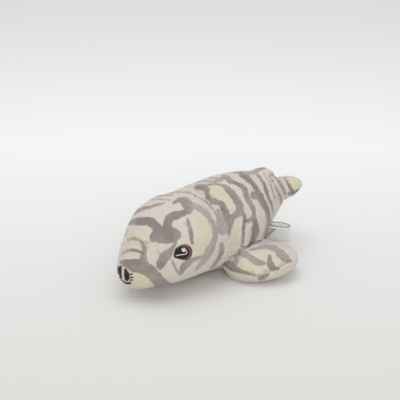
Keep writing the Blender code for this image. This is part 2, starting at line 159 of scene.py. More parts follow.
# Folds, as the depth of the dent and the height of the cloth raised beside it
NECK_SEAM_FOLD = (1.6, 0.6)
GATHER_FOLD = (1.2, 0.5)
TRUNK_CREASE_FOLD = (2.0, 0.9)
FLIPPER_CREASE_FOLD = (1.7, 0.8)
EDGE_FOLD = (0.5, 0.25)
CREASE_WIDTH = 1.5
# A dent's cross-section: how steep its walls are, and where its lip stands, in widths from its edge, and
# how narrow the lip is
DENT_STEEPNESS = 2.2
LIP_PLACE = 0.9
LIP_NARROWNESS = 5
# The neck seam's oval, and the gathers that run off it both ways
NECK_HEIGHT = 34
NECK_HALF_WIDTH = 34
NECK_HALF_HEIGHT = 33
NECK_SEAM_WIDTH = 1.2
NECK_SEAM_POINTS = 48
GATHER_PLACES = 30
GATHER_STRAY = 0.3
GATHER_LENGTHS = (3, 9)
GATHER_SLANT = 0.12
GATHER_WIDTHS = (1.5, 0.6)
GATHER_SEED = 7
# The seam round a flipper, and its puckers, whose lengths follow a sine of PUCKER_TURN radians a point
EDGE_POINTS = 60
EDGE_SEAM_WIDTH = 0.9
PUCKER_LENGTH = 2.2
PUCKER_SPREAD = 1.2
PUCKER_TURN = 5
PUCKER_WIDTHS = (0.5, 1.3)

# The camera that fits the photo, which is 400 pixels wide and high, and the size of a pixel at the toy
CAMERA_PLACE = Vector((0.3979, -0.3944, 0.2813))
CAMERA_AZIMUTH = math.radians(46)
CAMERA_PITCH = math.radians(22)
CAMERA_LENS = 72
CAMERA_SENSOR = 36
PHOTO_SIDE = 400
PHOTO_PIXEL = 0.72

# Lamps, as (name, place and size in metres, watts), and the even white room
LAMPS = (("soft_box", (0.0, -0.1, 1.0), 0.9, 2.8), ("front_box", (0.7, -0.6, 0.4), 0.7, 2.2))
ROOM_STRENGTH = 0.7
# Where the floor's tone begins and ends its turn to the backdrop's, from before the toy to behind it, and
# the floor's radius, in metres
FLOOR_TURN = (-0.18, 0.3)
FLOOR_RADIUS = 6

# Streaks of the print, a few of them painted shade as said at each. Each has a depth of tone, 1 for the
# darkest, and then the places (x, y, width) that it runs through in the photo, in pixels.
BODY_STREAKS = {
    "brow_far": (0.8, ((128, 219.5, 2), (131.5, 215, 3.2), (136, 211.6, 3.4), (143, 209, 3.4),
        (150, 207, 3.2), (158, 205, 2.6), (164, 203, 1))),
    "brow_edge": (0.7, ((125.5, 235, 1.2), (127, 226, 1.6), (129, 220, 1.5))),
    "brow": (0.95, ((128, 223.5, 3.5), (135, 222, 6.5), (143, 221.2, 8), (150, 222, 9), (155, 225.5, 9.5),
        (158, 231, 11))),
    "forehead": (0.95, ((151.5, 240.5, 4), (155, 237.5, 10), (160, 235, 16), (166, 234.5, 18.5),
        (172, 235, 15), (177, 235, 9))),
    "forehead_up": (0.95, ((167.5, 230, 9), (168, 222, 9), (171, 216.8, 8.5), (177, 215, 8.5),
        (183, 213, 6.5), (189.5, 211.3, 3))),
    "crown": (0.85, ((173, 203.3, 1.5), (178, 200.6, 4.6), (182.5, 200.6, 6.6), (186.5, 203.2, 10.5),
        (188.8, 207.4, 10.5), (188, 211.5, 6.5))),
    "crown_back": (0.68, ((193, 205, 5), (198, 208, 6.5), (203, 211, 6), (208, 216, 5.8), (212, 222.5, 5.6),
        (215, 229.5, 5.4), (215, 237, 5.6), (212.5, 244, 6.5), (209, 251.5, 8), (205, 258.5, 6.5),
        (200, 265, 4.5), (195.5, 270, 2))),
    "above_eye": (0.9, ((187, 217, 1.4), (188, 221.5, 3.2), (190, 228, 4.2), (191.3, 236, 4.4),
        (192, 243, 3))),
    "above_eye_spur": (0.8, ((183.5, 222.5, 0.8), (186, 224.5, 1.8), (188.5, 226, 2))),
    "before_eye": (0.9, ((176.5, 239.5, 3), (174.2, 245, 4), (170.5, 250.5, 5.5), (166.5, 255, 10),
        (163.2, 259.5, 10), (161, 264, 8.5), (160, 268, 4.5))),
    "wisp": (0.7, ((157, 248, 0.8), (160, 254, 1.8))),
    "muzzle_bar": (0.95, ((142.5, 244, 3.2), (144.5, 249, 5.2), (143.8, 254, 5.8), (143, 260, 8))),
    # Not print: painted shade, grey lines along the muzzle's folds, which are also pressed in among the
    # creases.
    "muzzle_fold_painted_shade": (0.8, ((128, 240, 0.8), (133, 238.5, 1.4), (138, 240, 1.6), (141, 242, 1.8),
        (144, 243, 2))),
    "muzzle_top_painted_shade": (0.8, ((122, 254, 0.8), (127, 251, 1.8), (132, 250, 2.1), (138, 251, 2.4), (142, 253, 3))),
    "muzzle": (0.95, ((121, 262, 3), (127, 263.5, 8.5), (134, 265.5, 13), (140, 266, 14), (146, 268.6, 13.6),
        (152, 273.5, 12.5), (157, 279, 12.5), (161.5, 283.8, 12.5), (167, 285.8, 8))),
    "under_eye": (0.9, ((201, 256.8, 2.5), (193, 260, 4.8), (187, 263.8, 6.8), (182.5, 268.5, 6),
        (181, 274, 2.8))),
    "under_eye_front": (0.8, ((170, 258, 1.2), (173, 263, 2.2), (175.5, 268, 2.4), (179, 274, 2.6))),
    "jowl": (0.8, ((221.8, 244, 4), (221.6, 250, 5.4), (220, 256, 4.4), (216, 262, 3.4), (211, 268, 2))),
    "crown_far": (0.75, ((150, 200, 0.8), (160, 199, 1.3), (170, 200.3, 1.3))),
    "crown_far_2": (0.75, ((155, 197, 0.6), (165, 195.5, 1.2), (173, 195, 0.8))),
    "crest": (0.75, ((169, 193, 0.8), (180, 192, 1.5), (190, 193, 1.7), (196, 196.2, 1.8), (201, 198.8, 1.8),
        (206, 201.8, 1.8), (211, 207, 1.8), (215, 213.5, 1.2))),
    "nape_far": (0.8, ((194, 183, 0.8), (203, 181, 2), (212, 182, 1.6))),
    "neck_field": (0.62, ((218.5, 211.5, 4), (220, 217, 8), (221.5, 224, 10), (222.8, 229.5, 10),
        (224, 233.5, 3))),
    "s_front": (0.95, ((195, 187.5, 3), (201, 187.3, 6), (206.3, 189, 6.5), (207, 194, 5), (209, 198.2, 5),
        (213, 201, 5.4), (218, 202.5, 5.2), (222.3, 205, 6), (224.6, 210, 7.4), (226, 216, 8), (228, 222, 8),
        (229.3, 229, 4.5), (229, 236, 1.6))),
    "s_top": (0.85, ((203, 186, 2), (210, 184.4, 2), (216, 184, 2.2), (222, 185, 3))),
    "s_back": (0.95, ((222, 185, 3), (226, 187.8, 5), (230, 191.4, 6.4), (234, 196.2, 7.2), (237.8, 202, 7.8),
        (239.8, 208, 8.2), (239.6, 213, 8))),
    "s_tail": (1, ((237, 213.5, 6), (233.5, 216.5, 6), (230.8, 221, 6.5), (229.3, 228, 4.6),
        (228.8, 236, 1.8))),
    "s_tail_2": (0.95, ((241, 210, 5), (243.8, 215, 4), (244.8, 220, 3.2), (244, 227, 3), (243.4, 235, 3.2),
        (242.6, 243, 2.8), (241.5, 247.5, 1))),
    "link": (0.95, ((245, 219, 3), (248.5, 221, 3.4), (252, 217.5, 3.4))),
    "ring_2_top": (0.8, ((222.5, 176, 2), (226, 177, 4.6), (229.5, 179.8, 5.6), (232, 182.2, 3.6))),
    "ring_2": (1, ((229, 181.8, 2.4), (234, 182.8, 3.6), (240, 185.4, 4.2), (244, 188.6, 5.4),
        (245.8, 194, 5.4), (247.2, 199.3, 4.8), (250.7, 204, 5), (253.6, 210, 4.6), (254, 217, 4.6),
        (254.8, 224, 5.6), (255.5, 229.5, 7.6), (254.8, 235, 6.2), (252.5, 241, 5), (249, 246.5, 2.4))),
    "ring_3_top": (0.95, ((240.5, 173, 4), (243.5, 175.8, 6.5), (247.5, 177.8, 6.4))),
    "ring_3": (1, ((246, 177.5, 6), (250.5, 181.5, 4.8), (254.5, 186, 4.8), (257.4, 191, 5.4),
        (259, 195.5, 7), (261.5, 200, 6.8), (264.3, 205, 6.6), (267, 210.5, 5.2), (268.3, 217, 4.2),
        (268, 224, 3.6), (266.3, 230.5, 2.6), (264, 236, 1))),
    "ring_3_block": (1, ((252.4, 193.3, 4.2), (252.6, 196.4, 4.4), (256, 195.2, 8), (259.5, 196, 8.4))),
    "ring_4": (0.95, ((256.5, 174.5, 2), (261.5, 179.5, 2.7), (264.3, 184.5, 2.6), (266.2, 190, 3.8),
        (268, 195.5, 3.2), (270.3, 201, 2.7), (272, 207, 2.3), (273, 213.5, 1.2))),
    "ring_4_thin": (0.8, ((264, 174.5, 0.8), (268.5, 179.5, 1.5), (271.3, 185.5, 1.7), (273.2, 192, 1.6),
        (275.2, 199, 0.8))),
    "ring_5": (0.85, ((269.5, 175.5, 1.2), (273.2, 181.8, 1.9), (275.8, 187.4, 2.2), (278.3, 193, 2.2),
        (280.6, 197, 1.2))),
    "ring_6": (0.85, ((272, 174.5, 1.2), (276, 178.2, 1.8), (279.6, 183.2, 2.6), (283, 189.2, 3.6),
        (285.2, 194, 2.4))),
    # Not print: painted shade of a crease low on the tail's underside.
    "tail_under_painted_shade": (0.7, ((280.2, 194.5, 1.4), (281, 198.5, 2), (280.8, 203, 0.8))),
    "hind_wedge": (0.9, ((283.8, 178, 1.2), (287.4, 182.8, 1.9), (290.4, 188, 3.8), (292.6, 191, 4))),
    "hind_under": (0.9, ((289, 193.5, 3.5), (294, 192.5, 3.8), (299, 190, 2))),
    "hind_far_edge": (0.75, ((252, 171.5, 2), (256.5, 170.6, 4), (260.5, 168.6, 3), (266, 167.3, 1.6))),
    "spine_1": (0.7, ((231, 172.4, 0.8), (237, 172.9, 2), (244, 173.3, 4), (251, 173, 4.2),
        (257.5, 172.8, 2))),
    "spine_2": (0.8, ((207, 178.5, 0.7), (215, 178.2, 1.4), (224, 178.4, 1.2))),
    "spine_3": (0.8, ((199, 181.2, 1), (205, 181, 1.6), (212, 181.2, 1.2))),
    "spine_4": (0.8, ((213, 181.8, 1.6), (218, 180.6, 3.4), (222, 178.6, 4), (225, 175.6, 2))),
}
FLIPPER_STREAKS = {
    # The root band is print, and also painted shade where the flipper's root meets the flank.
    "root_band": (0.85, ((224, 261.5, 4), (228, 264.5, 7), (233, 267.4, 7.6), (238, 270, 6),
        (243, 271.8, 4.4), (249, 273.6, 2.8), (254.5, 275, 1.2))),
    "root_up": (0.8, ((234.5, 265, 5), (236.5, 259, 5.5), (237.5, 254, 6), (237, 251, 4))),
    "front_band": (0.8, ((235, 252, 6), (241, 253, 6.4), (247.5, 255.8, 6), (253, 259.5, 7), (258, 262.3, 7),
        (262.5, 263.4, 4.6), (265.5, 263.6, 1.6))),
    "middle_spot": (0.85, ((269.5, 256, 3), (269.8, 261, 5.4), (271, 266, 7.6), (274.8, 268.6, 4.6),
        (279.5, 268.2, 2))),
    "rear_band": (0.75, ((245, 251.4, 1), (252, 249.8, 2.2), (260, 247.6, 3.4), (268, 246.8, 5),
        (275, 249, 6), (280.5, 253.4, 8.4), (284.8, 257.6, 8.6), (288.4, 260.2, 5), (291.5, 261.6, 1.6))),
    # Not print: painted shade, a thin grey line along the rim's seam, where the pile creases.
    "seam_painted_shade": (0.3, ((222, 262, 0.8), (227, 266, 0.9), (232.3, 270.6, 0.9), (242.7, 274.2, 0.9),
        (253, 275.6, 0.9), (261, 275.6, 0.9), (266, 272.5, 0.9), (274, 270.2, 0.9), (283, 265.4, 0.9),
        (292, 261, 0.6))),
    "edge_spot": (0.8, ((259.5, 279, 4), (264, 276.4, 4.4), (270, 273, 1.4))),
}

# Fields where the ground is yellower, as places (x, y, width) in the photo; the one on the flank is painted
# shade
WARM_FIELDS = (
    ((211, 190, 9), (218, 193, 13), (226, 199, 12), (229.5, 207, 9), (230, 214, 6)),
    ((134, 275, 8), (142, 281, 14), (147, 287, 8)),
    ((198, 218, 10), (203, 228, 16), (204, 240, 14), (202, 250, 8)),
    ((133, 232, 9), (140, 233, 13), (147, 234, 10)),
    # Painted shade: the flank below the S, yellower where it is in shade.
    ((235, 226, 8), (236, 238, 11), (233, 248, 9)),
    ((250, 212, 4), (253, 222, 5), (251, 236, 5), (247, 243, 5)),
    ((262, 203, 4), (263.5, 214, 5), (262, 225, 5), (259.5, 232, 4)),
    ((236, 262, 5), (243, 265, 7), (250, 269, 7)),
    ((286, 178, 5), (294, 181, 12), (299, 185, 10)),
    ((262, 171, 6), (268, 172, 8)),
)

# Creases of the slack cloth, as places (x, y, width) in the photo. A flipper's first one is the seam
# along its rim, and the short ones after it are the seam's puckers.
FLIPPER_CREASES = (
    ((222, 262, 0.8), (227, 266, 1.2), (232.3, 270.6, 1.2), (242.7, 274, 1.2), (253, 275.2, 1.2),
        (261, 275.8, 1.2), (266, 272.5, 1.2), (274, 270.2, 1.2), (283, 265.4, 1.2), (292, 261, 0.8)),
    ((236, 271, 1.2), (235, 276, 0.6)),
    ((244, 273, 1.2), (244, 279, 0.6)),
    ((252, 273, 1.2), (253, 280, 0.6)),
    ((265.5, 271, 1.2), (268, 277, 0.6)),
    ((273.5, 268.5, 1.2), (277, 274, 0.6)),
    ((282.5, 264, 1.2), (287, 268, 0.6)),
    ((288.5, 261, 1.2), (292, 264, 0.6)),
    ((284, 239, 0.8), (283, 243, 1.2), (280.5, 246, 0.6)),
    ((290, 242.5, 0.8), (287.5, 246, 1.2), (284.5, 248, 0.6)),
    ((228.5, 259.5, 0.8), (231, 262.5, 1.6), (233.5, 266, 0.8)),
    ((238, 251.5, 1.2), (239.5, 255, 1.6), (240, 259, 0.8)),
)
CREASES = (
    ((260.5, 241.7, 1.4), (254, 242.8, 2), (249.4, 247, 2.2), (242.8, 248.3, 2.2), (238.3, 251.7, 1.4)),
    ((127, 241, 1.2), (132, 239, 2.0), (138, 240, 2.2), (142, 242.5, 2.0), (147, 243, 1.2)),
    ((121, 255, 1.0), (127, 251.5, 1.8), (132, 250.5, 2.0), (138, 251.5, 1.8), (142, 254, 1.0)),
    ((243.8, 222, 1.2), (243.5, 232, 2.0), (242.8, 243, 2.0), (241.5, 248, 1.4)),
    ((251, 228, 1.0), (251.5, 238, 1.8), (249.5, 247, 1.4)),
    ((266, 175, 1.2), (270, 182, 2.0), (272.8, 190, 2.0), (274.6, 198, 1.8), (275.4, 206, 1.2)),
    ((269.5, 175.5, 1.2), (273, 181, 2.2), (276, 187, 2.2), (278.3, 193, 2.2), (279.5, 202, 1.4)),
    ((272, 174.5, 1.2), (277, 178.4, 2.2), (281, 183.4, 2.4), (283.6, 189, 2.4), (284.5, 196, 1.6)),
    ((284.5, 177, 1.2), (288, 182, 2.2), (290.5, 187.5, 2.4), (291.5, 193, 1.6)),
    ((181, 196, 1.0), (191, 198, 1.8), (200, 203, 2.0), (208, 210, 1.8), (213, 218, 1.0)),
    ((196, 190, 1.0), (205, 196.5, 1.8), (212, 204, 2.0), (217, 213, 1.6), (220, 222, 1.0)),
)


# Materials

CREAM = "#D2C9BF"
CREAM_YELLOWED = "#D1CBB4"
GREY_MAUVE = "#8E8281"
GREY_BROWN = "#8B7F78"
THREAD_BLACK = "#17100F"
THREAD_BLACK_WORN = "#2E2523"
THREAD_BROWN = "#6C443B"
THREAD_BROWN_WORN = "#86594D"
THREAD_WHITE = "#E9EAE6"
THREAD_WHITE_WORN = "#D6D8D2"
LABEL_WHITE = "#E6E8E8"
LABEL_EDGE = "#46504F"
LABEL_SAND = "#D9CBB0"
LABEL_ROSE = "#D3B8A3"
LABEL_BROWN = "#A58D80"
FLOOR = "#DBDAD7"
LIT_BACKDROP = "#FDFEFF"

# A noise's scale is how many of its marks fit in a metre. The velour's tufts are 1.1 mm apart, its clumps
# 4 mm and its fibres half a millimetre, and its nap turns every 3 mm, painted as patches of sheen. The ink
# fades over 17 mm, and the dye drifts over 24 mm. Strands and weft are half a millimetre apart, coarser than
# real ones, so that they show.
TUFTS = 900
CLUMPS = 260
FIBRES = 2200
NAP_SHEEN_PATCHES = 330
FADED_PATCHES = 60
DYE_PATCHES = 42
STRANDS = 1800
# A wave's scale is 314 over the millimetres between its bands.
WEFT = 700


def linear(hex_colour):
    """An sRGB hex colour as the linear colour that a socket takes."""
    parts = [int(hex_colour[i:i + 2], 16) / 255 for i in (1, 3, 5)]
    return (*(c / 12.92 if c <= 0.04045 else ((c + 0.055) / 1.055) ** 2.4 for c in parts), 1)


def feed(tree, node, inputs):
    """Sets a node's inputs, each to a value or by a link from another node's output."""
    for name, value in inputs.items():
        if isinstance(value, bpy.types.NodeSocket):
            tree.links.new(value, node.inputs[name])
        else:
            node.inputs[name].default_value = value


def add_node(tree, kind, output, inputs=None, **settings):
    """Adds a node with its settings and inputs, and gives the output that is wanted of it."""
    node = tree.nodes.new("ShaderNode" + kind)
    for name, value in settings.items():
        setattr(node, name, value)
    feed(tree, node, inputs or {})
    return node.outputs[output]


def new_material(name):
    """A material with its node tree and its shader."""
    material = bpy.data.materials.new(name)
    material.use_nodes = True
    return material, material.node_tree, material.node_tree.nodes["Principled BSDF"]


def polyester_velour():
    """Short knitted polyester pile, printed: a cream ground and grey streaks whose edges the tufts fray."""
    material, tree, shader = new_material("printed_polyester_velour")
    place = add_node(tree, "TexCoord", "Object")
    streak, depth, warm = (
        add_node(tree, "Attribute", "Fac", attribute_name=name) for name in ("streak", "depth", "warm")
    )
    tufts, clumps, fibres, nap_sheen, faded, drift = (
        add_node(tree, "TexNoise", "Fac", {"Vector": place, "Scale": scale, "Detail": detail})
        for scale, detail in (
            (TUFTS, 2), (CLUMPS, 2), (FIBRES, 2), (NAP_SHEEN_PATCHES, 3), (FADED_PATCHES, 1), (DYE_PATCHES, 1),
        )
    )
    # The print's edge wanders by about a millimetre, as ink does on tufts about 1 mm apart.
    wander = add_node(tree, "Math", 0, {0: tufts, 1: clumps}, operation="ADD")
    wander = add_node(tree, "Math", 0, {0: wander, 1: -1}, operation="ADD")
    edge = add_node(tree, "Math", 0, {0: wander, 1: 1.7, 2: streak}, operation="MULTIPLY_ADD")
    # Each range is what it is taken of, the ends that are read and what they become.
    inked, faded, taken, warm, drift, nap_sheen, foot = (
        add_node(
            tree, "MapRange", "Result",
            {"Value": source, "From Min": low, "From Max": high, "To Min": least, "To Max": most},
            interpolation_type=kind,
        )
        for source, low, high, least, most, kind in (
            (edge, -0.5, 0.45, 0, 1, "SMOOTHSTEP"),
            # The ink took unevenly: less in some places a few centimetres apart, and more in some clumps.
            (faded, 0.36, 0.6, 0.8, 1.05, "LINEAR"),
            (clumps, 0.3, 0.6, 0.92, 1.04, "LINEAR"),
            # The ground is yellower in some fields, dyed in most and painted shade in one on the flank, and
            # drifts a little over a few centimetres.
            (warm, -2, 1.5, -0.1, 0.65, "SMOOTHSTEP"),
            (drift, 0.42, 0.66, 0, 0.5, "LINEAR"),
            # Painted sheen and shade: brushed pile lies this way and that in patches 3 mm across, painted
            # lighter and darker as its sheen would show, and each tuft is painted darker at its foot, where
            # the pile shades itself.
            (nap_sheen, 0.3, 0.7, 0.96, 1.04, "LINEAR"),
            (tufts, 0.3, 0.6, 0.93, 1.0, "LINEAR"),
        )
    )
    for share in (depth, faded, taken):
        # Only the last product is kept within 0 and 1.
        last = share is taken
        inked = add_node(tree, "Math", 0, {0: inked, 1: share}, operation="MULTIPLY", use_clamp=last)
    drift = add_node(tree, "Math", 0, {0: warm, 1: drift}, operation="ADD", use_clamp=True)
    cream, grey = (
        add_node(tree, "Mix", 2, {0: drift, 6: linear(plain), 7: linear(yellowed)}, data_type="RGBA")
        for plain, yellowed in ((CREAM, CREAM_YELLOWED), (GREY_MAUVE, GREY_BROWN))
    )
    printed = add_node(tree, "Mix", 2, {0: inked, 6: cream, 7: grey}, data_type="RGBA")
    # The pile's painted sheen and shade scale the printed colour.
    shade = add_node(tree, "Math", 0, {0: nap_sheen, 1: foot}, operation="MULTIPLY")
    tinted = add_node(tree, "VectorMath", 0, {0: printed, "Scale": shade}, operation="SCALE")
    height = add_node(tree, "Math", 0, {0: fibres, 1: 0.5, 2: tufts}, operation="MULTIPLY_ADD")
    bump = add_node(tree, "Bump", "Normal", {"Height": height, "Strength": 0.5, "Distance": 0.35 * MM})
    feed(tree, shader, {
        "Base Color": tinted, "Normal": bump, "Roughness": 0.92, "Specular IOR Level": 0.15,
        "Sheen Weight": 0.3, "Sheen Roughness": 0.4,
    })
    return material


def rayon_thread(name, colour, worn):
    """Rayon embroidery thread in satin stitch: twisted strands with a silky gloss, duller where rubbed."""
    material, tree, shader = new_material(name)
    place = add_node(tree, "TexCoord", "Object")
    twist = add_node(tree, "TexNoise", "Fac", {"Vector": place, "Scale": STRANDS, "Detail": 2})
    tone = add_node(tree, "Mix", 2, {0: twist, 6: linear(colour), 7: linear(worn)}, data_type="RGBA")
    bump = add_node(tree, "Bump", "Normal", {"Height": twist, "Strength": 0.4, "Distance": 0.08 * MM})
    feed(tree, shader, {"Base Color": tone, "Normal": bump, "Roughness": 0.45})
    return material


def polyester_satin():
    """White woven satin ribbon with a dark upper edge and a slanted field of printed colour by the seam."""
    material, tree, shader = new_material("polyester_satin_ribbon")
    place = add_node(tree, "TexCoord", "Object")
    height = add_node(tree, "SeparateXYZ", "Z", {0: place})
    run, up_strip = (add_node(tree, "Attribute", "Fac", attribute_name=name) for name in ("run", "up"))
    # The field's slanted end rises by 1 mm for each 0.9 mm that it runs along the ribbon.
    slanted = add_node(tree, "Math", 0, {0: height, 1: -0.9, 2: run}, operation="MULTIPLY_ADD")
    across_field, margin, edging = (
        add_node(tree, "MapRange", "Result", {"Value": source, "From Min": low * MM, "From Max": high * MM})
        for source, low, high in (
            (slanted, *LABEL_FIELD),
            (up_strip, LABEL_STRIP - LABEL_MARGIN[0], LABEL_STRIP - LABEL_MARGIN[1]),
            (up_strip, LABEL_STRIP - LABEL_EDGING[0], LABEL_STRIP - LABEL_EDGING[1]),
        )
    )
    colour = add_node(tree, "ValToRGB", "Color", {"Fac": across_field})
    stops = colour.node.color_ramp.elements
    stops[0].color, stops[1].color = linear(LABEL_SAND), linear(LABEL_WHITE)
    for position, tone in ((0.5, LABEL_ROSE), (0.84, LABEL_BROWN), (0.92, LABEL_BROWN), (0.97, LABEL_WHITE)):
        stops.new(position).color = linear(tone)
    for share, over in ((margin, LABEL_WHITE), (edging, LABEL_EDGE)):
        colour = add_node(tree, "Mix", 2, {0: share, 6: colour, 7: linear(over)}, data_type="RGBA")
    weave = add_node(tree, "TexWave", "Fac", {"Vector": place, "Scale": WEFT}, bands_direction="Z")
    bump = add_node(tree, "Bump", "Normal", {"Height": weave, "Strength": 0.25, "Distance": 0.05 * MM})
    # Daylight passes through the thin weave.
    feed(tree, shader, {
        "Base Color": colour, "Normal": bump, "Roughness": 0.4, "Subsurface Weight": 1,
        "Subsurface Radius": (1, 1, 1), "Subsurface Scale": 1.5 * MM,
    })
    return material


def matt_paper():
    """Uncoated paper, pressed matt: no gloss, and painted paler behind the toy as painted light, where it
    stands for the brighter lit backdrop.
    """
    material, tree, shader = new_material("matt_paper")
    place = add_node(tree, "TexCoord", "Object")
    turned = add_node(tree, "Mapping", 0, {"Vector": place, "Rotation": (0, 0, -CAMERA_AZIMUTH)})
    depth = add_node(tree, "SeparateXYZ", "Y", {0: turned})
    near, far = FLOOR_TURN
    depth = add_node(tree, "MapRange", "Result", {"Value": depth, "From Min": near, "From Max": far})
    # Painted light: the paper is paler behind the toy, standing for the backdrop, which is lit brighter
    # there.
    tone = add_node(tree, "Mix", 2, {0: depth, 6: linear(FLOOR), 7: linear(LIT_BACKDROP)}, data_type="RGBA")
    feed(tree, shader, {"Base Color": tone, "Roughness": 0.9, "Specular IOR Level": 0.1})
    return material


# Objects and meshes as rows of points

def add_object(name, data):
    made = bpy.data.objects.new(name, data)
    bpy.context.scene.collection.objects.link(made)
    return made


def mesh_from(bm, name):
    mesh = bpy.data.meshes.new(name)
    bm.to_mesh(mesh)
    bm.free()
    return mesh


def points_of(mesh):
    points = np.empty(len(mesh.vertices) * 3, np.float32)
    mesh.vertices.foreach_get("co", points)
    return points.reshape(-1, 3).astype(float)


def set_points(mesh, points):
    mesh.vertices.foreach_set("co", points.astype(np.float32).ravel())
    mesh.update()


def normals_of(mesh):
    normals = np.empty(len(mesh.vertices) * 3, np.float32)
    mesh.vertex_normals.foreach_get("vector", normals)
    return normals.reshape(-1, 3).astype(float)


def move_out(skin, distances):
    """Moves each point along its normal, by its own distance in millimetres."""
    points = points_of(skin.data)
    set_points(skin.data, points + normals_of(skin.data) * (distances * MM)[:, None])


def surface_of(mesh):
    bm = bmesh.new()
    bm.from_mesh(mesh)
    tree = BVHTree.FromBMesh(bm)
    bm.free()
    return tree


def gaps_to(surface, points):
    """Each point's distance from the surface, in millimetres."""
    return np.array([surface.find_nearest(Vector(point))[3] for point in points]) / MM


def eased(share):
    return share**2 * (3 - 2 * share)


def apply_modifiers(piece):
    bpy.context.view_layer.objects.active = piece
    for modifier in list(piece.modifiers):
        bpy.ops.object.modifier_apply(modifier=modifier.name)


# Lines, as rows of coordinates that end in a width

LINE_STEP = 0.7
# How near a line the distance to it is worked out, and what stands for the distance inside it elsewhere
LINE_NEAR = 12
LINE_FAR = -40.0


def smooth_line(places, spacing=LINE_STEP):
    """Closely spaced rows on a smooth curve through the places."""
    p = np.array(places, float)
    ends = np.vstack([2 * p[0] - p[1], p, 2 * p[-1] - p[-2]])
    rows = []
    for k in range(len(p) - 1):
        a, b, c, d = ends[k:k + 4]
        count = max(2, int(np.linalg.norm((c - b)[:-1]) / spacing) + 1)
        t = np.linspace(0, 1, count, endpoint=k == len(p) - 2)[:, None]
        bend, twist = 2 * a - 5 * b + 4 * c - d, 3 * b - a - 3 * c + d
        rows.append(0.5 * (2 * b + (c - a) * t + bend * t**2 + twist * t**3))
    return np.vstack(rows)


def laid_on(line, surface):
    """The line's points, in millimetres, moved to the nearest places on the surface."""
    laid = line.copy()
    for k, row in enumerate(line):
        spot = surface.find_nearest(Vector(row[:3]) * MM)[0]
        laid[k, :3] = spot / MM
    return laid


def inside_line(points, line):
    """How far each point lies inside the line's edge, in the line's units, and below 0 outside."""
    most = np.full(len(points), LINE_FAR)
    places = line[:, :-1]
    nearby = (points > places.min(0) - LINE_NEAR) & (points < places.max(0) + LINE_NEAR)
    near = np.flatnonzero(nearby.all(1))
    for *place, width in line:
        gap = np.sqrt(((points[near] - place) ** 2).sum(1))
        most[near] = np.maximum(most[near], width / 2 - gap)
    return most


def inside_lines(points, lines):
    most = np.full(len(points), LINE_FAR)
    for line in lines:
        most = np.maximum(most, inside_line(points, line))
    return most


# The print

# The far side's print mirrors the near side's over a plane that leans by MIRROR_TURN, with the flank's
# middle, BODY_HALF_WIDTH off the plane, shifted towards the tail.
MIRROR_TURN = math.radians(-30)
MIRROR_SHIFT = 5.0
BODY_HALF_WIDTH = 34
# Distances inside streaks are stored up to this far.
PRINT_REACH = 20


def photo_places(points):
    """Where points in metres are seen in the photo, in its pixels."""
    turn = Matrix.Rotation(CAMERA_AZIMUTH, 3, "Z") @ Matrix.Rotation(math.pi / 2 - CAMERA_PITCH, 3, "X")
    seen = (points - np.array(CAMERA_PLACE)) @ np.array(turn)
    focal = PHOTO_SIDE * CAMERA_LENS / CAMERA_SENSOR
    return PHOTO_SIDE / 2 + focal * seen[:, :2] * (1, -1) / -seen[:, 2:]


def turned_to_view(skin):
    """The trunk's points, those of its far side moved to their mirror places on the side in the photo."""
    points = points_of(skin.data)
    away = (np.array(CAMERA_PLACE) - points) * normals_of(skin.data)
    hidden = away.sum(1) < 0
    height = np.interp(points[:, 1], *(np.array(AXIS).T * MM))
    across, up = math.sin(MIRROR_TURN), math.cos(MIRROR_TURN)
    x, z = points[:, 0], points[:, 2] - height
    along = x * across + z * up
    off_plane = x * up - z * across
    mirrored = np.column_stack((
        2 * along * across - x,
        points[:, 1] + MIRROR_SHIFT * MM * (off_plane / (BODY_HALF_WIDTH * MM)) ** 2,
        2 * along * up - z + height,
    ))
    return np.where(hidden[:, None], mirrored, points)


def print_streaks(skin, streaks, points):
    """Stores what the velour's print goes by, at the points' places in the photo.

    That is the distance inside the streaks and inside the yellower fields, in millimetres, and the depth of
    tone of the nearest streak.
    """
    places = photo_places(points)
    warm = inside_lines(places, [smooth_line(route) for route in WARM_FIELDS])
    inside = np.full(len(places), LINE_FAR)
    depth = np.zeros(len(places))
    for tone, route in streaks.values():
        here = inside_line(places, smooth_line(route))
        # Near two streaks, the tone is that of the one whose edge is nearer.
        depth = np.where(here > inside, tone, depth)
        inside = np.maximum(inside, here)
    inside, warm = (np.clip(d * PHOTO_PIXEL, -PRINT_REACH, PRINT_REACH) for d in (inside, warm))
    for name, values in (("streak", inside), ("depth", depth), ("warm", warm)):
        stored = skin.data.attributes.new(name, "FLOAT", "POINT")
        stored.data.foreach_set("value", values.astype(np.float32))


# Stuffed skins

def stuffed_skin(name, nodes, material, cell, most, smoothing):
    """A skin on the frame's solids: evenly meshed, blown out by its filling as cloth, and refined."""
    bm = bmesh.new()
    for node in nodes:
        bm.from_mesh(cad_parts[node].data)
    bmesh.ops.remove_doubles(bm, verts=bm.verts, dist=0.001 * MM)
    bm.normal_update()
    # Swollen by the gap between the solids, neighbours join into one skin.
    for vert in bm.verts:
        vert.co += vert.normal * SEWN_GAP * MM
    skin = add_object(name, mesh_from(bm, name))
    remesh = skin.modifiers.new("even_mesh", "REMESH")
    remesh.mode = "VOXEL"
    remesh.voxel_size = cell * MM
    apply_modifiers(skin)
    soften(skin, smoothing)
    blow_out(skin, most)
    refine = skin.modifiers.new("refine", "SUBSURF")
    refine.levels = refine.render_levels = 1
    apply_modifiers(skin)
    skin.data.materials.clear()
    skin.data.materials.append(material)
    skin.data.shade_smooth()
    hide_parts(*nodes)
    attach(skin, "root")
    return skin


